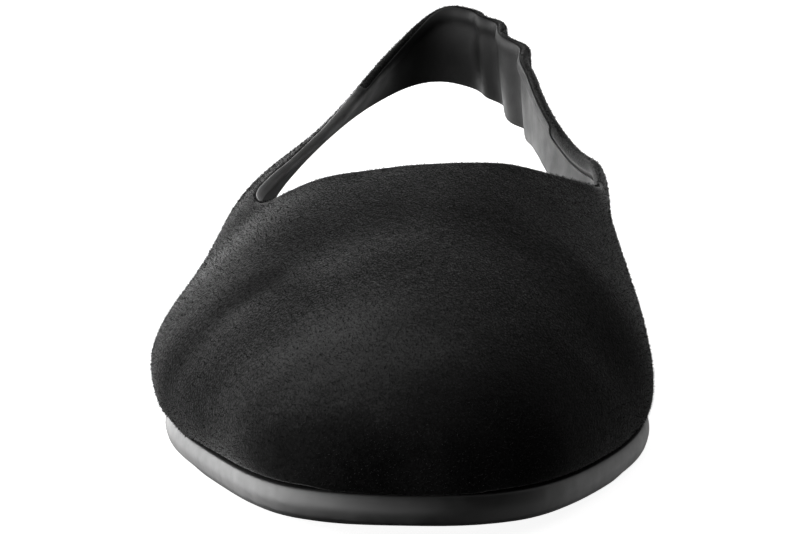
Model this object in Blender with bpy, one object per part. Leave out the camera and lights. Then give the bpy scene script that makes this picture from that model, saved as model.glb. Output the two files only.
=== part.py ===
"""Slingback ballet flat for the right foot: a suede upper with its sling strap, a footbed and a moulded sole.

X runs across the shoe, with the inner side of the foot at +X. Y runs along it, with the toe at -Y.
Z is up, and the sole rests on Z = 0. Lengths are in metres and angles in degrees.
"""

from collections import namedtuple
from math import pi, radians

import bmesh
import bpy
import numpy as np

# The last: the feather edge is the line where the upper meets the sole
LENGTH = 0.250
BALL_WIDTH = 0.088
INSTEP_HEIGHT = 0.042
BACK_HEIGHT = 0.051
HEEL_RISE = 0.010
TOE_SPRING = 0.0034

# The upper, made of suede on a smooth lining, and its rolled elastic edge
WALL = 0.0018
ROLLED_EDGE = 0.0024
ROLL_ZONE = 0.004
STRAP_WIDTH = 0.020

# The sole and the footbed on it
SOLE_THICKNESS = 0.0048
SOLE_SETBACK = 0.0004
SOLE_BULGE = 0.0006
SOLE_ROUND = 0.0014
BREAST_RUN = 0.002
INSOLE_THICKNESS = 0.002
INSOLE_ROUND = 0.0008
INSOLE_INSET = 0.0008
FIT_GAP = 0.0003

# Places along the shoe, as shares of its length from the toe
SPRING_END = 0.25
RISE_START = 0.38
BREAST = 0.75
RISE_END = 0.82
VAMP_END = 0.61
STRAP_START = 0.71
COLLAR_MIDDLE = 0.62

# Fineness of the meshes; the rows of a rib lie closer together near its foot by the power ROW_CROWDING
RIBS_ROUND = 180
RIB_ROWS = 9
ROW_CROWDING = 1.3
STATIONS = 36
FINE_STEPS = 48
NUDGE = 0.0001
SHARP_ANGLE = 40

# Layers of the sole's side, as shares of the way down and of its bulge
SIDE_UPPER = 0.15
SIDE_MIDDLE = 0.45
SIDE_FULLNESS = 0.6

# A rib climbs the upper's outside from its foot at the feather edge to the edge of the collar.
# across: share of BALL_WIDTH, inner side positive; along: share of LENGTH from the toe
# edge_up: height over the sole, as a share of INSTEP_HEIGHT on the vamp and of BACK_HEIGHT on the strap
# lean, slope: angle from upright that the rib leaves its foot at, and from level that it reaches its edge at
# rise, reach: length of the rib's two handles, as shares of the straight line from foot to edge
# band: height of the strap there, as a share of STRAP_WIDTH
Rib = namedtuple("Rib", "foot_across foot_along edge_across edge_along edge_up lean rise slope reach band")

INNER_STRAP_RIBS = [
    Rib(0.000, 1.000, 0.050, 0.992, 1.00, 5, 0.35, 88, 0.34, 0.92),
    Rib(0.226, 0.968, 0.178, 0.964, 0.98, 4, 0.32, 88, 0.40, 1.00),
    Rib(0.316, 0.880, 0.276, 0.880, 0.87, 4, 0.32, 86, 0.45, 1.02),
    Rib(0.306, 0.752, 0.326, 0.760, 0.70, 10, 0.38, 78, 0.43, 0.72),
    Rib(0.284, 0.620, 0.404, 0.640, 0.61, 21, 0.42, 67, 0.33, 0.74),
]
VAMP_RIBS = [
    Rib(0.320, 0.560, 0.437, 0.588, 0.765, 22, 0.41, 60, 0.30, 0.90),
    Rib(0.364, 0.496, 0.436, 0.536, 0.75, 25, 0.40, 54, 0.27, 0.95),
    Rib(0.467, 0.388, 0.400, 0.488, 0.82, 23, 0.29, 41, 0.26, 0.95),
    Rib(0.500, 0.268, 0.312, 0.456, 0.91, 18, 0.19, 28, 0.33, 0.95),
    Rib(0.376, 0.123, 0.208, 0.436, 0.98, 14, 0.14, 20, 0.42, 0.95),
    Rib(0.202, 0.019, 0.105, 0.426, 0.995, 10, 0.12, 14, 0.47, 0.95),
    Rib(0.000, -0.004, 0.000, 0.423, 0.985, 10, 0.12, 12, 0.51, 0.95),
    Rib(-0.202, 0.028, -0.105, 0.424, 0.955, 13, 0.12, 14, 0.51, 0.95),
    Rib(-0.366, 0.137, -0.208, 0.431, 0.905, 23, 0.17, 20, 0.51, 0.95),
    Rib(-0.500, 0.270, -0.300, 0.449, 0.80, 36, 0.27, 30, 0.46, 0.95),
    Rib(-0.491, 0.386, -0.350, 0.484, 0.72, 32, 0.37, 35, 0.43, 0.95),
    Rib(-0.434, 0.490, -0.368, 0.537, 0.70, 24, 0.47, 31, 0.36, 1.20),
]
OUTER_STRAP_RIBS = [
    Rib(-0.390, 0.606, -0.312, 0.641, 0.56, 25, 0.52, 23, 0.41, 1.40),
    Rib(-0.356, 0.736, -0.235, 0.761, 0.59, 24, 0.51, 31, 0.42, 0.86),
    Rib(-0.331, 0.880, -0.162, 0.880, 0.70, 19, 0.48, 50, 0.36, 0.68),
    Rib(-0.239, 0.968, -0.072, 0.965, 0.85, 9, 0.41, 72, 0.30, 0.76),
]

# The elastic gathers the strap into soft upright folds behind the inner side of the heel.
# place: distance from the heel's centre round the collar's edge, as a share of LENGTH
# width: half the fold's width, as a share of LENGTH; depth: how far it stands out, negative for a trough
Fold = namedtuple("Fold", "place width depth")
STRAP_FOLDS = [
    Fold(0.042, 0.009, 0.0006),
    Fold(0.060, 0.008, -0.0006),
    Fold(0.080, 0.011, 0.0013),
    Fold(0.116, 0.015, -0.0013),
    Fold(0.152, 0.013, 0.0014),
    Fold(0.190, 0.018, -0.0005),
]

# Colours as linear red, green and blue, with the surface's roughness
Finish = namedtuple("Finish", "colour roughness")
SUEDE = Finish((0.012, 0.012, 0.012), 0.95)
LINING = Finish((0.035, 0.035, 0.035), 0.6)
MOULDED_RUBBER = Finish((0.014, 0.014, 0.014), 0.3)


def ease(share):
    """Climb from 0 to 1 with a level start and a level end."""
    held = np.clip(share, 0, 1)
    return held * held * (3 - 2 * held)


def toe_lift(along):
    """Height that the toe spring adds at a distance from the toe."""
    return TOE_SPRING * np.clip(1 - along / (SPRING_END * LENGTH), 0, 1) ** 2


def heel_lift(along):
    """Height that the arch and the heel seat have over the forefoot."""
    return HEEL_RISE * ease((along / LENGTH - RISE_START) / (RISE_END - RISE_START))


def sole_top(along):
    return SOLE_THICKNESS + toe_lift(along) + heel_lift(along)


def sole_bottom(along):
    """The underside rises at the toe and under the arch, and drops to the floor at the heel's breast."""
    past_breast = np.clip((along - BREAST * LENGTH) / BREAST_RUN + 0.5, 0, 1)
    return toe_lift(along) + heel_lift(along) * (1 - past_breast)


def closed_spline(knots, rows):
    """Return the smooth closed curve that passes through a row of values at each knot."""
    count = len(rows)
    steps = np.diff(knots)
    before = np.roll(steps, 1)
    system = np.zeros((count, count))
    for place in range(count):
        system[place, place - 1] += before[place]
        system[place, place] += 2 * (before[place] + steps[place])
        system[place, (place + 1) % count] += steps[place]
    grades = (np.roll(rows, -1, axis=0) - rows) / steps[:, None]
    bends = np.linalg.solve(system, 6 * (grades - np.roll(grades, 1, axis=0)))

    def curve(at):
        at = np.mod(at, knots[-1])
        place = np.clip(np.searchsorted(knots, at, side="right") - 1, 0, count - 1)
        after = (place + 1) % count
        step = steps[place][:, None]
        back = (knots[place + 1] - at)[:, None] / step
        ahead = 1 - back
        straight = back * rows[place] + ahead * rows[after]
        bend = (back ** 3 - back) * bends[place] + (ahead ** 3 - ahead) * bends[after]
        return straight + bend * step ** 2 / 6

    return curve


def rib_values(rib, height):
    """Turn one row of shares into lengths, with its angles in radians."""
    edge_along = rib.edge_along * LENGTH
    return [rib.foot_across * BALL_WIDTH, rib.foot_along * LENGTH, rib.edge_across * BALL_WIDTH, edge_along,
            sole_top(edge_along) + rib.edge_up * height, radians(rib.lean), rib.rise,
            radians(rib.slope), rib.reach, rib.band * STRAP_WIDTH]


def last_curve():
    """Join the rows of ribs into one closed curve round the last, and return it with its length."""
    rows = [rib_values(rib, BACK_HEIGHT) for rib in INNER_STRAP_RIBS]
    rows += [rib_values(rib, INSTEP_HEIGHT) for rib in VAMP_RIBS]
    rows += [rib_values(rib, BACK_HEIGHT) for rib in OUTER_STRAP_RIBS]
    rows = np.array(rows)
    feet = rows[:, :2]
    spacing = np.sqrt(np.linalg.norm(np.roll(feet, -1, axis=0) - feet, axis=1))
    knots = np.concatenate([[0], np.cumsum(spacing)])
    return closed_spline(knots, rows), knots[-1]


CURVE, ROUND = last_curve()


def outward(at):
    """Level direction that points out of the shoe, square to the feather edge."""
    step = NUDGE * ROUND
    run = CURVE(at + step)[:, :2] - CURVE(at - step)[:, :2]
    run /= np.linalg.norm(run, axis=1, keepdims=True)
    return np.column_stack([-run[:, 1], run[:, 0], np.zeros(len(run))])


def handles(at):
    """Four control points of the rib at each place round the last."""
    values = CURVE(at)
    foot_x, foot_y, edge_x, edge_y, edge_z, lean, rise, slope, reach, _ = values.T
    out = outward(at)
    up = np.array([0, 0, 1])
    foot = np.column_stack([foot_x, foot_y, sole_top(foot_y) + FIT_GAP])
    edge = np.column_stack([edge_x, edge_y, edge_z])
    span = np.linalg.norm(edge - foot, axis=1)
    away = np.column_stack([edge_x, edge_y - COLLAR_MIDDLE * LENGTH, np.zeros(len(at))])
    away /= np.linalg.norm(away, axis=1, keepdims=True)
    foot_way = np.sin(lean)[:, None] * out + np.cos(lean)[:, None] * up
    edge_way = np.cos(slope)[:, None] * away - np.sin(slope)[:, None] * up
    return [foot, foot + (rise * span)[:, None] * foot_way, edge + (reach * span)[:, None] * edge_way, edge]


def surface(at, climb):
    """Points of the upper's outside: one row for each rib, one column for each share of its climb."""
    corners = [corner[:, None, :] for corner in handles(at)]
    climb = climb[..., None]
    left = 1 - climb
    shares = [left ** 3, 3 * left ** 2 * climb, 3 * left * climb ** 2, climb ** 3]
    return sum(share * corner for share, corner in zip(shares, corners))


def fold_depth(at):
    """How far the gathered folds push the strap out at each rib."""
    fine = np.linspace(0, ROUND / 2, RIBS_ROUND)
    edge = CURVE(fine)[:, 2:5]
    travelled = np.concatenate([[0], np.cumsum(np.linalg.norm(np.diff(edge, axis=0), axis=1))])
    place = np.interp(at, fine, travelled) / LENGTH
    depth = np.zeros(len(at))
    for fold in STRAP_FOLDS:
        depth += fold.depth * ease(1 - np.abs(place - fold.place) / (2 * fold.width))
    return np.where(at < ROUND / 2, depth, 0)


def rib_rows(at):
    """Share of the climb at each row of each rib, with the last rows kept for the rolled edge."""
    fine = np.tile(np.linspace(0, 1, FINE_STEPS), (len(at), 1))
    path = surface(at, fine)
    lengths = np.cumsum(np.linalg.norm(np.diff(path, axis=1), axis=2), axis=1)
    lengths = np.column_stack([np.zeros(len(at)), lengths])
    total = lengths[:, -1]
    values = CURVE(at)
    past_vamp = np.clip((values[:, 1] / LENGTH - VAMP_END) / (STRAP_START - VAMP_END), 0, 1)
    start = (total - values[:, 9]) * np.sqrt(1 - (1 - past_vamp) ** 2)
    top = total - ROLLED_EDGE / 2
    zone = total - ROLL_ZONE
    body = np.linspace(0, 1, RIB_ROWS) ** ROW_CROWDING
    rows = start[:, None] + (zone - start)[:, None] * body
    middle = (zone + top) / 2
    rows = np.column_stack([rows, middle, top])
    climb = np.array([np.interp(row, length, fine[0]) for row, length in zip(rows, lengths)])
    return climb, start == 0


def build_upper():
    """Loft the hollow upper: its outside, a rounded collar, its inside and the rim underneath."""
    at = np.linspace(0, ROUND, RIBS_ROUND, endpoint=False)
    climb, on_sole = rib_rows(at)
    outside = surface(at, climb)
    along_rib = surface(at, climb + NUDGE) - surface(at, climb - NUDGE)
    round_last = surface(at + NUDGE * ROUND, climb) - surface(at - NUDGE * ROUND, climb)
    along_rib /= np.linalg.norm(along_rib, axis=2, keepdims=True)
    facing = np.cross(along_rib, round_last)
    facing /= np.linalg.norm(facing, axis=2, keepdims=True)

    folds = np.zeros(climb.shape)
    folds[:] = fold_depth(at)[:, None]
    folds[on_sole] = 0
    outside += facing * folds[..., None]

    thickness = np.full(climb.shape[1], WALL)
    thickness[-2:] = ROLLED_EDGE
    inside = outside - facing * thickness[:, None]
    level = outward(at)[on_sole]
    lean = CURVE(at)[on_sole, 5]
    inside[on_sole, 0] = outside[on_sole, 0] - level * (WALL / np.cos(lean))[:, None]

    centre = (outside[:, -1] + inside[:, -1]) / 2
    collar = []
    for turn in (pi / 4, pi / 2, 3 * pi / 4):
        collar.append(centre + (np.cos(turn) * facing[:, -1] + np.sin(turn) * along_rib[:, -1]) * ROLLED_EDGE / 2)
    loops = [outside[:, row] for row in range(outside.shape[1])]
    loops += collar
    loops += [inside[:, row] for row in reversed(range(inside.shape[1]))]
    return tube_mesh("upper", loops)


def tube_mesh(name, loops):
    """Skin a row of closed loops, and join the last loop back to the first."""
    sheet = bmesh.new()
    rings = [[sheet.verts.new(point) for point in loop] for loop in loops]
    for ring, above in zip(rings, rings[1:] + rings[:1]):
        for place in range(len(ring)):
            sheet.faces.new((ring[place - 1], ring[place], above[place], above[place - 1]))
    return finish_mesh(name, sheet)


def outline(inset):
    """Points of the feather edge at each station, pushed in by an amount that may vary along the shoe."""
    fine = np.linspace(0, ROUND, RIBS_ROUND * FINE_STEPS, endpoint=False)
    edge = CURVE(fine)[:, :2]
    edge = edge - outward(fine)[:, :2] * inset(edge[:, 1])[:, None]
    edge = np.roll(edge, -int(np.argmax(edge[:, 1])), axis=0)
    toe = int(np.argmin(edge[:, 1]))
    inner = edge[:toe + 1][::-1]
    outer = np.vstack([edge[toe:], edge[:1]])
    shares = (1 - np.cos(np.linspace(0, pi, STATIONS))) / 2
    shares = shares[np.abs(shares - BREAST) * LENGTH > 2 * BREAST_RUN]
    stops = edge[toe, 1] + (edge[0, 1] - edge[toe, 1]) * shares
    step = BREAST * LENGTH + BREAST_RUN * np.array([-0.5, 0.5])
    stops = np.insert(stops, np.searchsorted(shares, BREAST), step)
    inner_x = np.interp(stops, inner[:, 1], inner[:, 0])
    outer_x = np.interp(stops, outer[:, 1], outer[:, 0])
    return stops, inner_x, outer_x


def slab_mesh(name, layers):
    """Skin a stack of outlines, each a height and an outline, and close its top and its bottom with rungs."""
    sheet = bmesh.new()
    rings = []
    for height, (stops, inner_x, outer_x) in layers:
        rise = height(stops)
        toe = sheet.verts.new((inner_x[0], stops[0], rise[0]))
        heel = sheet.verts.new((inner_x[-1], stops[-1], rise[-1]))
        inner = [sheet.verts.new(point) for point in zip(inner_x[1:-1], stops[1:-1], rise[1:-1])]
        outer = [sheet.verts.new(point) for point in zip(outer_x[1:-1], stops[1:-1], rise[1:-1])]
        rings.append((toe, inner, heel, outer))
    rounds = [[toe] + inner + [heel] + outer[::-1] for toe, inner, heel, outer in rings]
    for ring, above in zip(rounds, rounds[1:]):
        for place in range(len(ring)):
            sheet.faces.new((ring[place - 1], ring[place], above[place], above[place - 1]))
    for toe, inner, heel, outer in (rings[0], rings[-1]):
        sheet.faces.new((toe, inner[0], outer[0]))
        sheet.faces.new((heel, inner[-1], outer[-1]))
        for place in range(1, len(inner)):
            sheet.faces.new((inner[place - 1], inner[place], outer[place], outer[place - 1]))
    return finish_mesh(name, sheet)


def finish_mesh(name, sheet):
    """Turn a closed sheet of faces into a smooth object with its faces pointing out."""
    bmesh.ops.recalc_face_normals(sheet, faces=sheet.faces)
    mesh = bpy.data.meshes.new(name)
    sheet.to_mesh(mesh)
    sheet.free()
    mesh.shade_smooth()
    mesh.set_sharp_from_angle(angle=radians(SHARP_ANGLE))
    piece = bpy.data.objects.new(name, mesh)
    bpy.context.scene.collection.objects.link(piece)
    return piece


def build_outsole():
    """Stack the sole's outlines from its top, over its bulging side, round to its underside."""
    side = SOLE_BULGE * SIDE_FULLNESS
    corner = SOLE_ROUND * (1 - np.sqrt(0.5))

    def between(share):
        return lambda along: sole_top(along) + (sole_bottom(along) - sole_top(along)) * share

    def layer(height, out):
        return height, outline(lambda along: np.full(len(along), SOLE_SETBACK - out))

    layers = [
        layer(sole_top, 0),
        layer(between(SIDE_UPPER), side),
        layer(between(SIDE_MIDDLE), SOLE_BULGE),
        layer(lambda along: sole_bottom(along) + SOLE_ROUND, side),
        layer(lambda along: sole_bottom(along) + corner, side - corner),
        layer(sole_bottom, side - SOLE_ROUND),
    ]
    return slab_mesh("outsole", layers)


def insole_inset(along):
    """The footbed clears the upper's wall under the vamp, and runs out to the sole's edge behind it."""
    behind = ease((along - VAMP_END * LENGTH - WALL) / (STRAP_START - VAMP_END) / LENGTH)
    under_vamp = WALL + INSOLE_INSET
    return under_vamp + (INSOLE_INSET - under_vamp) * behind


def build_insole():
    """Lay the footbed on the sole's top, with a rounded upper edge."""
    def height(over):
        return lambda along: sole_top(along) + FIT_GAP + over

    def layer(over, extra):
        return height(over), outline(lambda along: insole_inset(along) + extra)

    corner = INSOLE_ROUND * (1 - np.sqrt(0.5))
    layers = [
        layer(0, 0),
        layer(INSOLE_THICKNESS - INSOLE_ROUND, 0),
        layer(INSOLE_THICKNESS - corner, corner),
        layer(INSOLE_THICKNESS, INSOLE_ROUND),
    ]
    return slab_mesh("insole", layers)


def paint(piece, finish):
    """Give a piece its own material."""
    material = bpy.data.materials.new(piece.name)
    material.use_nodes = True
    shader = material.node_tree.nodes["Principled BSDF"]
    shader.inputs["Base Color"].default_value = (*finish.colour, 1)
    shader.inputs["Roughness"].default_value = finish.roughness
    shader.inputs["Metallic"].default_value = 0
    piece.data.materials.append(material)


def centre_on_floor(pieces):
    """Slide the whole shoe so that the box round it stands centred on the origin."""
    points = np.array([corner.co for piece in pieces for corner in piece.data.vertices])
    low = points.min(axis=0)
    high = points.max(axis=0)
    middle = (low + high) / 2
    for piece in pieces:
        for corner in piece.data.vertices:
            corner.co.x -= middle[0]
            corner.co.y -= middle[1]
            corner.co.z -= low[2]


def main():
    for piece in list(bpy.data.objects):
        bpy.data.objects.remove(piece)
    upper = build_upper()
    insole = build_insole()
    outsole = build_outsole()
    paint(upper, SUEDE)
    paint(insole, LINING)
    paint(outsole, MOULDED_RUBBER)
    centre_on_floor([upper, insole, outsole])


main()
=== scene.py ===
"""Dresses the slingback ballet flat in black suede, a smooth lining, a footbed and a satin moulded sole.

X runs to the inner side of the shoe, Y from its toe to its heel, and Z up. Lengths are in metres.
"""

from collections import namedtuple
from math import cos, pi, radians, sin

import bmesh
import bpy
import numpy as np
from mathutils import Matrix, Vector, noise
from mathutils.bvhtree import BVHTree


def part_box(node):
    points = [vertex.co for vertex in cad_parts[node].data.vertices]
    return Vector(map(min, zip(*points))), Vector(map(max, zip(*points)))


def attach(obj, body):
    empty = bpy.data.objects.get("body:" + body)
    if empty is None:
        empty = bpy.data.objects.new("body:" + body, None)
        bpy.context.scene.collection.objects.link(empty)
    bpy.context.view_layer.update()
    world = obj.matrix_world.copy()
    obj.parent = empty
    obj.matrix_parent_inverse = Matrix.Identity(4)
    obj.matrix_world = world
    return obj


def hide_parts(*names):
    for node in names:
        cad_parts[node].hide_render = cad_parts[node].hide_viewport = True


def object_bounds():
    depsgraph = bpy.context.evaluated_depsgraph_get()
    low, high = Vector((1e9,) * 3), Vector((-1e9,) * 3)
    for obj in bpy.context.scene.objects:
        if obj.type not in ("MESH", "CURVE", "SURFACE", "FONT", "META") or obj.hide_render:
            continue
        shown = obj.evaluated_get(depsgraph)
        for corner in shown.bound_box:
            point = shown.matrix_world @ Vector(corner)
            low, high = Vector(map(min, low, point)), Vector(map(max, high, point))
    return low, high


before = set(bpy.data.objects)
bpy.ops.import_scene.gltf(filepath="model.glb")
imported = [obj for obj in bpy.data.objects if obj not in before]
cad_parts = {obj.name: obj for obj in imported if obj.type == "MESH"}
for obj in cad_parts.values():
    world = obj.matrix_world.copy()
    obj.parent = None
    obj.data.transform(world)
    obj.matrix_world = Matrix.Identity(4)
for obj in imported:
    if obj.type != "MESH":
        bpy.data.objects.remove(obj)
CAD_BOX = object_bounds()
UPPER_LOW, UPPER_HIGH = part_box("upper")
SOLE_LOW, SOLE_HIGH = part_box("outsole")

MM = 0.001

# The camera, where the photograph was taken from
CAMERA_PLACE = (0.0099, -0.5175, 0.1150)
CAMERA_LENS = 116.4
CAMERA_PITCH = radians(10.13)
CAMERA_YAW = radians(-1.25)
CAMERA_ROLL = radians(0.37)
SENSOR_WIDTH = 36
NEAREST_SEEN = 10 * MM

FLOOR_SIZE = 4

# Soft lights round the shoe: where each comes from, in degrees, how sharply it is aimed, and its strength.
# azimuth: 0 in front of the toe, 90 on the inner side, 180 behind the heel, 270 on the outer side
SoftLight = namedtuple("SoftLight", "azimuth elevation sharpness strength")
SOFT_LIGHTS = [
    SoftLight(225, 12, 7, 2.4),
    SoftLight(270, 12, 7, 3.0),
    SoftLight(240, 50, 7, 0.35),
    SoftLight(325, 45, 7, 0.35),
    SoftLight(180, 12, 7, 0.8),
    SoftLight(150, 45, 7, 0.5),
    SoftLight(200, 10, 40, 9.0),
    SoftLight(220, -9, 20, 1.9),
    SoftLight(245, -9, 20, 2.2),
    SoftLight(275, -9, 20, 2.0),
    SoftLight(310, -9, 20, 2.8),
    SoftLight(355, -9, 20, 1.4),
    SoftLight(90, -30, 7, 0.3),
    SoftLight(140, -9, 20, 1.0),
]

# The space for the foot, whose middle tells the upper's inside from its outside
FOOT_MIDDLE = 3 * MM
FOOT_TOE, FOOT_HEEL = -60 * MM, 85 * MM
FOOT_LOW, FOOT_CLIMB = 18 * MM, 36 * MM
CLIMB_START, CLIMB_RUN = 20 * MM, 100 * MM

# The lining covers the inside of the upper wherever the wall is thinner than this. Where the strap begins on the
# inner side it leaves the rolled edge bare, and on the outer side of the strap it covers that edge too, over the
# top, as far as faces that turn no further outwards than EDGE_TURN, a cosine
LINED_WALL = 3.0 * MM
LINED_WALL_AT_ROOT, LINED_WALL_AT_EDGE = 2.3 * MM, 6.0 * MM
ROOT_END = 52 * MM
EDGE_START, EDGE_END = 14 * MM, 92 * MM
EDGE_TURN = 0.45
RAY_START = 0.3 * MM
LINING_STANDOFF = 0.12 * MM
LINING_THICKNESS = 0.30 * MM

# Soft troughs and ridges across the vamp, drawn in plan in shares of half the upper's width and of its length
# from the toe. width: how far from its line it is half as deep; depth: how far it sinks, negative for a ridge
Crease = namedtuple("Crease", "start end width depth")
CREASES = [
    Crease((-0.12, 0.30), (-0.72, 0.245), 7 * MM, 0.35 * MM),
    Crease((-0.70, 0.25), (-0.92, 0.225), 5 * MM, 0.30 * MM),
    Crease((-0.30, 0.22), (-0.80, 0.180), 7 * MM, -0.20 * MM),
    Crease((-0.45, 0.37), (-0.88, 0.330), 6 * MM, -0.30 * MM),
    Crease((0.35, 0.29), (0.80, 0.230), 8 * MM, 0.35 * MM),
    Crease((0.15, 0.36), (0.75, 0.320), 6 * MM, -0.20 * MM),
]

# Painted light and shade on the nap, with a few lighter and darker brush patches on the outer side, drawn as
# above:
# lighter where amount is positive, darker where it is negative. A painted highlight lies over the dome; painted
# shade lies under and along the toe, beside the creases, along the topline and over the inner side; painted light
# lies along the strap's band on the inner side
ToneMark = namedtuple("ToneMark", "start end width amount")
PAINTED_LIGHT_AND_BRUSH = [
    ToneMark((-0.30, 0.12), (-0.12, 0.05), 13 * MM, 0.9),
    ToneMark((-0.15, 0.14), (0.12, 0.13), 11 * MM, 0.7),
    ToneMark((-0.62, 0.06), (-0.05, 0.00), 5 * MM, -1.1),
    ToneMark((-0.05, 0.00), (0.45, 0.03), 9 * MM, -0.5),
    ToneMark((-0.10, 0.33), (-0.55, 0.28), 7 * MM, -0.55),
    ToneMark((-0.66, 0.26), (-0.92, 0.23), 6 * MM, -0.6),
    ToneMark((-0.50, 0.26), (-0.44, 0.23), 4 * MM, -0.6),
    ToneMark((-0.78, 0.20), (-0.45, 0.18), 8 * MM, -0.4),
    ToneMark((-0.58, 0.47), (-0.52, 0.34), 7 * MM, -0.6),
    ToneMark((-0.60, 0.42), (-0.92, 0.38), 6 * MM, 0.5),
    ToneMark((-0.20, 0.38), (0.50, 0.38), 7 * MM, -0.4),
    ToneMark((0.35, 0.32), (0.75, 0.24), 9 * MM, -0.4),
    ToneMark((0.50, 0.07), (0.95, 0.27), 10 * MM, -0.6),
    # Painted light along the strap on the inner side, which the lights hardly reach
    ToneMark((0.98, 0.53), (0.84, 0.76), 8 * MM, 1.6),
    ToneMark((0.84, 0.76), (0.50, 0.93), 8 * MM, 1.6),
]

# Painted light on the lining: lighter on the strap on the outer side, whose lining faces away from the lights, and
# painted shade behind the heel
LINING_PAINTED_LIGHT = [
    ToneMark((-0.80, 0.52), (-0.45, 0.82), 8 * MM, 1.8),
    ToneMark((0.00, 0.99), (0.40, 0.99), 12 * MM, -0.5),
]

# Between these places painted shade darkens the nap over the rolled edge across the instep, where the edge turns
# away
# from the light: it begins where its faces turn no further outwards than the second of these cosines, and is full
# from the first
DARK_EDGE_START, DARK_EDGE_END = -26 * MM, 6 * MM
DARK_EDGE_FADE = 5 * MM
DARK_EDGE_TURN = (0.25, 0.75)
PAINTED_EDGE_SHADE = -0.9

# The leather is uneven, as it is drawn over a last
UNEVEN_CELL, UNEVEN_DEPTH = 9 * MM, 0.10 * MM

# Noises, in cells for each metre. One seldom leaves NOISE_RANGE, so it is spread from there
NOISE_RANGE = (0.3, 0.7)
GRAIN_CELLS, CLUMP_CELLS, CLOUD_CELLS = 3000, 800, 95
NAP_CELLS = 5200
LINING_GRAIN_CELLS, LINING_CLOUD_CELLS = 1900, 130
FOOTBED_GRAIN_CELLS, FOOTBED_CLOUD_CELLS = 1500, 40
RIPPLE_CELLS, SCUFF_CELLS = 140, 420

# The nap lies along the shoe, so that its grain is this many times longer that way. The grain is weaker at the
# toe, up to the first of these places, and full from the second, and it is weaker where light is painted on the
# nap
NAP_COMBED = 2.4
CALM_TOE = (-122 * MM, -75 * MM)
CALM_AT_TOE, CALM_WHERE_PAINTED_LIGHT = 0.4, 0.55

# Loose fibres of the nap, how thickly they grow, for each square metre, how they lean off the surface at random,
# and their sizes as shares of their length
FIBRE_LENGTH = 0.46 * MM
EDGE_FIBRE_LENGTH = 0.62 * MM
FIBRE_RADIUS = 0.045 * MM
FIBRES_ON_VAMP = 3.4e6
FIBRES_ON_STRAP = 4.0e6
FIBRES_ON_EDGE = 10.0e6
FIBRE_LEAN = ((-1.1, -0.8, -0.9), (1.1, 1.3, 0.9))
FIBRE_SIZES = (0.5, 1.4)
STRAP_BREAK = 8 * MM
EDGE_NAP_TURN = 0.6
NAP_SEED = 7

# How a CAD node's triangles are joined back into four-sided faces
MERGED_WITHIN = 0.02 * MM
JOINED_UP_TO = radians(50)
SKEWED_UP_TO = radians(60)

# A face whose normal has more than this share straight up or down belongs to a flat side. The inset round such a
# side keeps the edge of the smooth shape crisp
FLAT = 0.8
RIM_INSET = 1.4 * MM
UNDERSIDE_INSET = 0.4 * MM

# The fine cross grooves under the sole run over these stretches of half its length, wherever it faces straight
# down. Across a groove, its flank lies between these heights of a wave
TREADS = [(-0.90, -0.02), (0.56, 0.94)]
GROOVE_STEP = 3.0 * MM
GROOVE_DEPTH = 0.45 * MM
GROOVE_FLANK = (0.2, 0.7)
STRAIGHT_DOWN = 0.97
RIPPLE_DEPTH = 0.125 * MM

# A point where the faces turn away further than this from its own direction, as a cosine, is a corner,
# and one whose direction has less than this upward share belongs to a flat underside
CORNER = 0.8
FACING_DOWN = -0.98
FIT_ROUNDS = 3


def start_material(name):
    material = bpy.data.materials.new(name)
    material.use_nodes = True
    tree = material.node_tree
    return material, tree, tree.nodes["Principled BSDF"]


def pattern(tree, scale, detail=2.0, roughness=0.5, combed=1.0):
    """A noise on the shoe's own coordinates, with its scale in cells for each metre.

    combed: how many times longer its cells are along the shoe than across it.
    """
    where = tree.nodes.new("ShaderNodeTexCoord")
    stretch = tree.nodes.new("ShaderNodeMapping")
    stretch.inputs["Scale"].default_value = (1, 1 / combed, 1)
    node = tree.nodes.new("ShaderNodeTexNoise")
    node.inputs["Scale"].default_value = scale
    node.inputs["Detail"].default_value = detail
    node.inputs["Roughness"].default_value = roughness
    tree.links.new(where.outputs["Object"], stretch.inputs["Vector"])
    tree.links.new(stretch.outputs["Vector"], node.inputs["Vector"])
    return node.outputs["Fac"]


def along_shoe(tree):
    """The place from toe to heel."""
    where = tree.nodes.new("ShaderNodeTexCoord")
    split = tree.nodes.new("ShaderNodeSeparateXYZ")
    tree.links.new(where.outputs["Object"], split.inputs["Vector"])
    return split.outputs["Y"]


def spread(tree, value, low, high, to_low=0.0, to_high=1.0):
    """The value, with low to high drawn out to the new range and held at its ends."""
    node = tree.nodes.new("ShaderNodeMapRange")
    for socket, amount in (("From Min", low), ("From Max", high), ("To Min", to_low), ("To Max", to_high)):
        node.inputs[socket].default_value = amount
    tree.links.new(value, node.inputs["Value"])
    return node.outputs["Result"]


def compute(tree, operation, first, second=0.0):
    """One step of arithmetic on values that are sockets or numbers."""
    node = tree.nodes.new("ShaderNodeMath")
    node.operation = operation
    for socket, value in zip(node.inputs, (first, second)):
        if isinstance(value, (int, float)):
            socket.default_value = value
        else:
            tree.links.new(value, socket)
    return node.outputs["Value"]


def times(tree, first, second):
    return compute(tree, "MULTIPLY", first, second)


def add(tree, first, *others):
    for other in others:
        first = compute(tree, "ADD", first, other)
    return first


def painted(tree, name):
    """A value that was painted on the piece's own points."""
    node = tree.nodes.new("ShaderNodeAttribute")
    node.attribute_name = name
    return node.outputs["Fac"]


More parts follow.
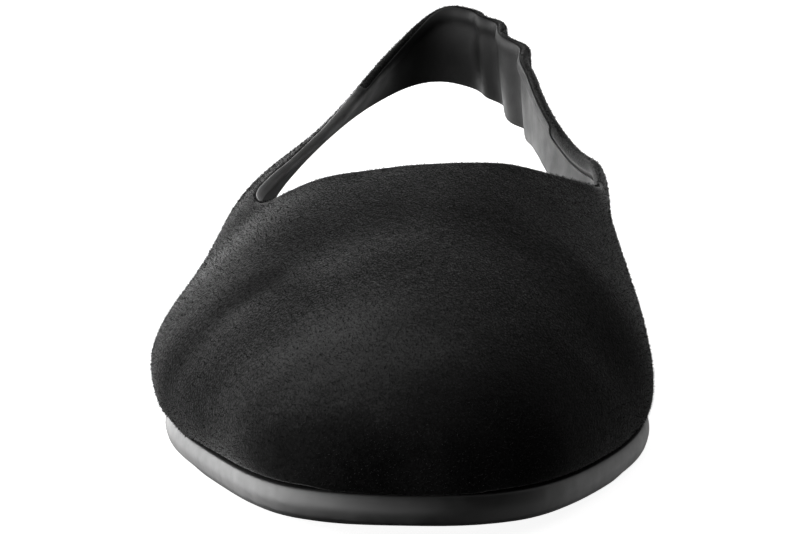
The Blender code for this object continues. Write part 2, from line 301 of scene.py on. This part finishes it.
def tint(tree, shader, value, *stops):
    """Colour the shader in greys, through stops of value and brightness."""
    ramp = tree.nodes.new("ShaderNodeValToRGB")
    elements = ramp.color_ramp.elements
    elements.remove(elements[-1])
    for index, (place, grey) in enumerate(stops):
        element = elements[0] if index == 0 else elements.new(place)
        element.position = place
        element.color = (grey, grey, grey, 1)
    tree.links.new(value, ramp.inputs["Fac"])
    tree.links.new(ramp.outputs["Color"], shader.inputs["Base Color"])


def roughen(tree, shader, height, distance, strength=1.0):
    node = tree.nodes.new("ShaderNodeBump")
    node.inputs["Distance"].default_value = distance
    node.inputs["Strength"].default_value = strength
    tree.links.new(height, node.inputs["Height"])
    tree.links.new(node.outputs["Normal"], shader.inputs["Normal"])


def suede():
    """Black suede, whose short nap is grainy close by, with painted light and shade and a few brush patches in its
    colour and sheen.
    """
    material, tree, shader = start_material("black_suede")
    painted_light_and_brush = painted(tree, "painted_light_and_brush")
    strength = times(
        tree,
        spread(tree, painted_light_and_brush, 0.0, 1.0, 1.0, CALM_WHERE_PAINTED_LIGHT),
        spread(tree, along_shoe(tree), *CALM_TOE, CALM_AT_TOE, 1.0))
    grain = spread(tree, pattern(tree, GRAIN_CELLS, 1.0, 0.6, NAP_COMBED), *NOISE_RANGE, -0.5, 0.5)
    clumps = spread(tree, pattern(tree, CLUMP_CELLS, 2.0, 0.6, NAP_COMBED), *NOISE_RANGE, -0.5, 0.5)
    clouds = spread(tree, pattern(tree, CLOUD_CELLS, 4.0, 0.65), *NOISE_RANGE)
    grain = times(tree, grain, strength)
    clumps = times(tree, clumps, strength)
    # The tone carries painted light and shade, with a few brush patches, from the painted points
    tone = add(
        tree,
        times(tree, grain, 0.60), times(tree, clumps, 0.20), 0.32,
        times(tree, clouds, 0.20), times(tree, painted_light_and_brush, 0.22))
    tint(tree, shader, tone, (0.15, 0.001), (0.5, 0.008), (0.9, 0.044))
    shader.inputs["Roughness"].default_value = 0.95
    shader.inputs["Specular IOR Level"].default_value = 0.06
    # More sheen where light is painted and less where shade is painted: a painted highlight in the sheen
    tree.links.new(spread(tree, painted_light_and_brush, -1.0, 1.0, 0.05, 0.55), shader.inputs["Sheen Weight"])
    shader.inputs["Sheen Roughness"].default_value = 0.30
    roughen(tree, shader, add(tree, grain, times(tree, clumps, 0.8)), 0.08 * MM, 0.8)
    return material


def nap():
    """The loose fibres of the suede, each a little lighter or darker."""
    material, tree, shader = start_material("suede_nap")
    tone = spread(tree, pattern(tree, NAP_CELLS, 1.0), *NOISE_RANGE)
    tint(tree, shader, tone, (0.0, 0.003), (0.6, 0.010), (1.0, 0.028))
    shader.inputs["Roughness"].default_value = 0.9
    shader.inputs["Specular IOR Level"].default_value = 0.1
    shader.inputs["Sheen Weight"].default_value = 0.12
    shader.inputs["Sheen Roughness"].default_value = 0.4
    return material


def lining():
    """Smooth dark lining leather, slightly cloudy, with a fine grain, and painted light and shade in its colour.
    """
    material, tree, shader = start_material("smooth_lining")
    grain = pattern(tree, LINING_GRAIN_CELLS, 3.0, 0.6)
    clouds = spread(tree, pattern(tree, LINING_CLOUD_CELLS, 3.0, 0.6), *NOISE_RANGE)
    # The painted points add painted light on the lining of the outer strap and painted shade behind the heel
    tone = add(tree, times(tree, clouds, 0.3), times(tree, grain, 0.2), times(tree, painted(tree, "painted_light_and_brush"), 0.6))
    tint(tree, shader, tone, (0.0, 0.010), (0.4, 0.024), (0.9, 0.14))
    tree.links.new(spread(tree, clouds, 0.0, 1.0, 0.68, 0.54), shader.inputs["Roughness"])
    shader.inputs["Specular IOR Level"].default_value = 0.4
    roughen(tree, shader, grain, 0.05 * MM, 0.6)
    return material


def footbed_cover():
    """The same leather as the lining, plainer, on the footbed."""
    material, tree, shader = start_material("footbed_cover")
    grain = pattern(tree, FOOTBED_GRAIN_CELLS, 3.0, 0.65)
    clouds = spread(tree, pattern(tree, FOOTBED_CLOUD_CELLS, 3.0, 0.6), *NOISE_RANGE)
    tone = add(tree, times(tree, clouds, 0.6), times(tree, grain, 0.4))
    tint(tree, shader, tone, (0.1, 0.018), (0.9, 0.036))
    shader.inputs["Roughness"].default_value = 0.55
    shader.inputs["Specular IOR Level"].default_value = 0.4
    roughen(tree, shader, grain, 0.07 * MM, 0.7)
    return material


def grooves(tree):
    """The depth of the tread's cross grooves, where it is painted."""
    wave = compute(tree, "COSINE", times(tree, along_shoe(tree), 2 * pi / GROOVE_STEP))
    return times(tree, times(tree, spread(tree, wave, *GROOVE_FLANK), painted(tree, "tread")), GROOVE_DEPTH)


def moulded_rubber():
    """Black rubber with a satin side, a little uneven from its mould and lightly scuffed, and a fine tread."""
    material, tree, shader = start_material("moulded_rubber")
    ripple = pattern(tree, RIPPLE_CELLS, 2.0, 0.5)
    scuff = pattern(tree, SCUFF_CELLS, 4.0, 0.7)
    tint(tree, shader, spread(tree, scuff, *NOISE_RANGE), (0.0, 0.012), (1.0, 0.020))
    tree.links.new(spread(tree, scuff, *NOISE_RANGE, 0.44, 0.54), shader.inputs["Roughness"])
    shader.inputs["Specular IOR Level"].default_value = 0.8
    height = times(tree, add(tree, ripple, times(tree, scuff, 0.12)), RIPPLE_DEPTH)
    roughen(tree, shader, compute(tree, "SUBTRACT", height, grooves(tree)), 1.0)
    return material


def copied_shell(node):
    """A merged copy of a CAD node's mesh, with its triangles joined back into four-sided faces."""
    shell = bmesh.new()
    shell.from_mesh(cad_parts[node].data)
    bmesh.ops.remove_doubles(shell, verts=shell.verts, dist=MERGED_WITHIN)
    bmesh.ops.join_triangles(
        shell, faces=shell.faces, angle_face_threshold=JOINED_UP_TO, angle_shape_threshold=SKEWED_UP_TO)
    bmesh.ops.recalc_face_normals(shell, faces=shell.faces)
    return shell


def as_piece(name, shell, material):
    mesh = bpy.data.meshes.new(name)
    shell.to_mesh(mesh)
    shell.free()
    mesh.materials.append(material)
    mesh.shade_smooth()
    piece = bpy.data.objects.new(name, mesh)
    bpy.context.scene.collection.objects.link(piece)
    return piece


def settle(piece):
    """Apply the piece's modifiers."""
    made = piece.evaluated_get(bpy.context.evaluated_depsgraph_get())
    mesh = bpy.data.meshes.new_from_object(made)
    piece.modifiers.clear()
    piece.data = mesh


def at_corners(mesh):
    """True for each point where faces meet at a sharp angle."""
    sharp = np.zeros(len(mesh.vertices), bool)
    for face in mesh.polygons:
        for place in face.vertices:
            if face.normal.dot(mesh.vertices[place].normal) < CORNER:
                sharp[place] = True
    return sharp


def smooth_through(piece, levels):
    """Subdivide the piece smoothly, so that it still passes through its own points and stays on the floor."""
    smooth = piece.modifiers.new("smooth", "SUBSURF")
    smooth.levels = levels
    smooth.render_levels = levels
    goal = points_of(piece.data)
    cage = goal.copy()
    normals = np.array([point.normal for point in piece.data.vertices])
    free = ~at_corners(piece.data) & (normals[:, 2] > FACING_DOWN)
    for _ in range(FIT_ROUNDS):
        made = piece.evaluated_get(bpy.context.evaluated_depsgraph_get())
        short = np.sum((goal - points_of(made.data)[:len(goal)]) * normals, axis=1)
        cage += normals * (short * free)[:, None]
        move_points(piece.data, cage)
    settle(piece)
    points = points_of(piece.data)
    points[:, 2] = np.maximum(points[:, 2], CAD_BOX[0][2])
    move_points(piece.data, points)


def points_of(mesh):
    points = np.empty(len(mesh.vertices) * 3)
    mesh.vertices.foreach_get("co", points)
    return points.reshape(-1, 3)


def move_points(mesh, points):
    mesh.vertices.foreach_set("co", points.ravel())
    mesh.update()


def paint(mesh, name, amount):
    """Keep an amount for each point, for the material to read."""
    mesh.attributes.new(name, "FLOAT", "POINT").data.foreach_set("value", amount)


def foot_middle(points):
    """The middle of the space for the foot, level with each point of the upper."""
    climb = np.clip((points[:, 1] - CLIMB_START) / CLIMB_RUN, 0, 1)
    return np.column_stack([
        np.full(len(points), FOOT_MIDDLE),
        np.clip(points[:, 1], FOOT_TOE, FOOT_HEEL),
        FOOT_LOW + FOOT_CLIMB * climb,
    ])


def outwards(points, normals):
    """How far each normal points out of the shoe: 1 outwards, 0 along the wall, -1 inwards."""
    out = points - foot_middle(points)
    return np.sum(out * normals, axis=1) / np.linalg.norm(out, axis=1)


def nearness(points, start, end, width):
    """Soft share: 1 on a line drawn on the upper in plan, a half at its width and 0 at twice its width."""
    half = (UPPER_HIGH[0] - UPPER_LOW[0]) / 2
    length = UPPER_HIGH[1] - UPPER_LOW[1]
    first, last = (np.array([share[0] * half, UPPER_LOW[1] + share[1] * length]) for share in (start, end))
    run = last - first
    along = np.clip((points[:, :2] - first) @ run / (run @ run), 0, 1)
    away = np.linalg.norm(points[:, :2] - first - along[:, None] * run, axis=1)
    share = np.clip(1 - away / (2 * width), 0, 1)
    return share * share * (3 - 2 * share)


def work_the_leather(mesh):
    """Sink the creases into the leather and make it slightly uneven, and return its new points."""
    points = points_of(mesh)
    out = points - foot_middle(points)
    out /= np.linalg.norm(out, axis=1, keepdims=True)
    sink = sum(crease.depth * nearness(points, crease.start, crease.end, crease.width) for crease in CREASES)
    uneven = np.array([noise.noise(Vector(point) / UNEVEN_CELL) for point in points])
    points += out * (uneven * UNEVEN_DEPTH - sink)[:, None]
    move_points(mesh, points)
    return points


def painted_tone(points, marks):
    return sum(mark.amount * nearness(points, mark.start, mark.end, mark.width) for mark in marks)


def painted_edge_shade(mesh, points):
    """Painted shade on the nap where the upper turns over its rolled edge."""
    normals = np.array([point.normal for point in mesh.vertices])
    full, none = DARK_EDGE_TURN
    turned = np.clip((none - outwards(points, normals)) / (none - full), 0, 1)
    behind = np.clip((points[:, 1] - DARK_EDGE_START) / DARK_EDGE_FADE, 0, 1)
    before = np.clip((DARK_EDGE_END - points[:, 1]) / DARK_EDGE_FADE, 0, 1)
    return PAINTED_EDGE_SHADE * turned * behind * before


def inside_faces(shell):
    """Faces that the lining covers: on the inside of the upper's wall, and over part of its rolled edge."""
    tree = BVHTree.FromBMesh(shell)
    middles = np.array([face.calc_center_median() for face in shell.faces])
    out = middles - foot_middle(middles)
    out /= np.linalg.norm(out, axis=1, keepdims=True)
    found = []
    for face, middle, way in zip(shell.faces, middles, out):
        turn = face.normal.dot(Vector(way))
        on_edge = face.normal.z > EDGE_TURN and middle[0] < 0 and EDGE_START < middle[1] < EDGE_END
        if on_edge and turn < EDGE_TURN:
            found.append(face)
            continue
        if turn > 0:
            continue
        limit = LINED_WALL
        if middle[0] > 0 and middle[1] < ROOT_END:
            limit = LINED_WALL_AT_ROOT
        elif middle[0] < 0 and middle[1] < EDGE_END:
            limit = LINED_WALL_AT_EDGE
        wall = tree.ray_cast(Vector(middle) - face.normal * RAY_START, -face.normal)[3]
        if wall is not None and wall < limit - RAY_START:
            found.append(face)
    return found


def build_upper(material):
    """The suede shell with its rolled edge and strap."""
    piece = as_piece("suede_upper", copied_shell("upper"), material)
    smooth_through(piece, 2)
    points = work_the_leather(piece.data)
    # Paint light and shade on the nap, with a few brush patches, and painted shade over the rolled edge
    paint(piece.data, "painted_light_and_brush", painted_tone(points, PAINTED_LIGHT_AND_BRUSH) + painted_edge_shade(piece.data, points))
    return piece


def build_lining(material):
    """A thin sheet of its own just inside the suede."""
    shell = copied_shell("upper")
    kept = set(inside_faces(shell))
    bmesh.ops.delete(shell, geom=[face for face in shell.faces if face not in kept], context="FACES")
    shell.normal_update()
    for corner, out in [(corner, corner.normal.copy()) for corner in shell.verts]:
        corner.co += out * (LINING_STANDOFF + LINING_THICKNESS)
    bmesh.ops.solidify(shell, geom=shell.faces, thickness=LINING_THICKNESS)
    bmesh.ops.recalc_face_normals(shell, faces=shell.faces)
    piece = as_piece("lining", shell, material)
    smooth_through(piece, 1)
    # Paint light on the lining of the outer strap and shade behind the heel
    paint(piece.data, "painted_light_and_brush", painted_tone(work_the_leather(piece.data), LINING_PAINTED_LIGHT))
    return piece


def inset_flat(shell, side, thickness):
    """Inset the flat top, for side 1, or the flat underside, for side -1."""
    faces = [face for face in shell.faces if face.normal.z * side > FLAT]
    bmesh.ops.inset_region(shell, faces=faces, thickness=thickness, use_even_offset=True)


def build_footbed(material):
    shell = copied_shell("insole")
    inset_flat(shell, 1, RIM_INSET)
    inset_flat(shell, -1, RIM_INSET)
    piece = as_piece("footbed", shell, material)
    smooth_through(piece, 2)
    return piece


def tread_share(mesh):
    """Where the grooves run under the sole: 1 there and 0 elsewhere."""
    points = points_of(mesh)
    down = -np.array([point.normal.z for point in mesh.vertices])
    half = (SOLE_HIGH[1] - SOLE_LOW[1]) / 2
    along = points[:, 1] / half
    inside = np.any([(along > first) & (along < last) for first, last in TREADS], axis=0)
    return inside * np.clip((down - STRAIGHT_DOWN) / (1 - STRAIGHT_DOWN), 0, 1)


def build_sole(material):
    shell = copied_shell("outsole")
    inset_flat(shell, 1, RIM_INSET)
    inset_flat(shell, -1, UNDERSIDE_INSET)
    piece = as_piece("sole", shell, material)
    smooth_through(piece, 2)
    paint(piece.data, "tread", tread_share(piece.data))
    return piece


def fibre_growth(name, density, length, material):
    """Geometry nodes that turn faces into loose fibres standing on them."""
    tree = bpy.data.node_groups.new(name, "GeometryNodeTree")
    for direction in ("INPUT", "OUTPUT"):
        tree.interface.new_socket("Geometry", in_out=direction, socket_type="NodeSocketGeometry")
    node = tree.nodes.new
    link = tree.links.new
    ground = node("NodeGroupInput")
    sow = node("GeometryNodeDistributePointsOnFaces")
    sow.inputs["Density"].default_value = density
    sow.inputs["Seed"].default_value = NAP_SEED
    link(ground.outputs["Geometry"], sow.inputs["Mesh"])
    fibre = node("GeometryNodeMeshCone")
    fibre.inputs["Vertices"].default_value = 3
    fibre.inputs["Radius Bottom"].default_value = FIBRE_RADIUS
    fibre.inputs["Depth"].default_value = length
    lean = node("FunctionNodeRandomValue")
    lean.data_type = "FLOAT_VECTOR"
    lean.inputs[0].default_value, lean.inputs[1].default_value = FIBRE_LEAN
    way = node("ShaderNodeVectorMath")
    way.operation = "ADD"
    link(sow.outputs["Normal"], way.inputs[0])
    link(lean.outputs[0], way.inputs[1])
    turn = node("FunctionNodeAlignRotationToVector")
    turn.axis = "Z"
    link(way.outputs["Vector"], turn.inputs["Vector"])
    size = node("FunctionNodeRandomValue")
    size.data_type = "FLOAT"
    size.inputs[2].default_value, size.inputs[3].default_value = FIBRE_SIZES
    plant = node("GeometryNodeInstanceOnPoints")
    link(sow.outputs["Points"], plant.inputs["Points"])
    link(fibre.outputs["Mesh"], plant.inputs["Instance"])
    link(turn.outputs["Rotation"], plant.inputs["Rotation"])
    link(size.outputs[1], plant.inputs["Scale"])
    real = node("GeometryNodeRealizeInstances")
    link(plant.outputs["Instances"], real.inputs["Geometry"])
    dye = node("GeometryNodeSetMaterial")
    dye.inputs["Material"].default_value = material
    link(real.outputs["Geometry"], dye.inputs["Geometry"])
    done = node("NodeGroupOutput")
    link(dye.outputs["Geometry"], done.inputs["Geometry"])
    return tree


def grow_nap(name, upper, chosen, density, length, material):
    """Grow short loose fibres out of the chosen faces of the suede's outside."""
    shell = bmesh.new()
    shell.from_mesh(upper.data)
    middles = np.array([face.calc_center_median() for face in shell.faces])
    outward = outwards(middles, np.array([face.normal for face in shell.faces]))
    keep = (outward > 0) & chosen(middles, outward)
    shell.faces.ensure_lookup_table()
    bmesh.ops.delete(shell, geom=[shell.faces[place] for place in np.flatnonzero(~keep)], context="FACES")
    piece = as_piece(name, shell, material)
    growth = piece.modifiers.new("growth", "NODES")
    growth.node_group = fibre_growth(name, density, length, material)
    settle(piece)
    return piece


def build_camera():
    ahead = Vector((
        sin(CAMERA_YAW) * cos(CAMERA_PITCH),
        cos(CAMERA_YAW) * cos(CAMERA_PITCH),
        -sin(CAMERA_PITCH)))
    level = Vector((cos(CAMERA_YAW), -sin(CAMERA_YAW), 0))
    upright = level.cross(ahead)
    right = level * cos(CAMERA_ROLL) + upright * sin(CAMERA_ROLL)
    up = upright * cos(CAMERA_ROLL) - level * sin(CAMERA_ROLL)
    data = bpy.data.cameras.new("camera")
    data.lens = CAMERA_LENS
    data.sensor_fit = "HORIZONTAL"
    data.sensor_width = SENSOR_WIDTH
    data.clip_start = NEAREST_SEEN
    data.dof.use_dof = False
    camera = bpy.data.objects.new("camera", data)
    bpy.context.scene.collection.objects.link(camera)
    camera.matrix_world = Matrix.Translation(CAMERA_PLACE) @ Matrix((right, up, -ahead)).transposed().to_4x4()
    bpy.context.scene.camera = camera


def build_studio():
    """A plain white studio, lit by large soft lights that the camera doesn't see."""
    world = bpy.data.worlds.new("studio")
    bpy.context.scene.world = world
    world.use_nodes = True
    tree = world.node_tree
    background = tree.nodes["Background"]
    where = tree.nodes.new("ShaderNodeTexCoord")
    total = 0.0
    for light in SOFT_LIGHTS:
        azimuth, elevation = radians(light.azimuth), radians(light.elevation)
        aim = tree.nodes.new("ShaderNodeVectorMath")
        aim.operation = "DOT_PRODUCT"
        aim.inputs[1].default_value = (
            sin(azimuth) * cos(elevation), -cos(azimuth) * cos(elevation), sin(elevation))
        tree.links.new(where.outputs["Generated"], aim.inputs[0])
        share = compute(tree, "POWER", compute(tree, "MAXIMUM", aim.outputs["Value"], 0.0), light.sharpness)
        total = add(tree, times(tree, share, light.strength), total)
    glow = tree.nodes.new("ShaderNodeCombineColor")
    for channel in ("Red", "Green", "Blue"):
        tree.links.new(total, glow.inputs[channel])
    sight = tree.nodes.new("ShaderNodeLightPath")
    white = tree.nodes.new("ShaderNodeMix")
    white.data_type = "RGBA"
    tree.links.new(sight.outputs["Is Camera Ray"], white.inputs["Factor"])
    tree.links.new(glow.outputs["Color"], white.inputs["A"])
    white.inputs["B"].default_value = (1, 1, 1, 1)
    tree.links.new(white.outputs["Result"], background.inputs["Color"])
    bpy.context.scene.view_settings.view_transform = "Standard"


def build_floor():
    floor = bmesh.new()
    bmesh.ops.create_grid(floor, x_segments=1, y_segments=1, size=FLOOR_SIZE)
    material, tree, shader = start_material("pale_floor")
    shader.inputs["Base Color"].default_value = (0.9, 0.9, 0.9, 1)
    shader.inputs["Roughness"].default_value = 0.9
    shader.inputs["Specular IOR Level"].default_value = 0
    shader.inputs["Emission Color"].default_value = (1, 1, 1, 1)
    shader.inputs["Emission Strength"].default_value = 0.9
    piece = as_piece("floor", floor, material)
    piece.visible_glossy = False
    piece.visible_diffuse = False


def dress(piece, slot, *nodes):
    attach(piece, "root")
    if nodes:
        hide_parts(*nodes)


build_camera()
build_studio()
build_floor()

upper = build_upper(suede())
dress(upper, "upper", "upper")
dress(build_lining(lining()), "upper")
dress(build_footbed(footbed_cover()), "insole", "insole")
dress(build_sole(moulded_rubber()), "outsole", "outsole")

fibres = nap()
naps = [
    ("nap_on_vamp", lambda at, out: at[:, 1] < STRAP_BREAK, FIBRES_ON_VAMP, FIBRE_LENGTH),
    ("nap_on_strap", lambda at, out: at[:, 1] >= STRAP_BREAK, FIBRES_ON_STRAP, FIBRE_LENGTH),
    (
        "nap_on_edge", lambda at, out: (at[:, 1] > DARK_EDGE_START) & (out < EDGE_NAP_TURN),
        FIBRES_ON_EDGE, EDGE_FIBRE_LENGTH,
    ),
]
for name, chosen, density, length in naps:
    dress(grow_nap(name, upper, chosen, density, length, fibres), "upper")
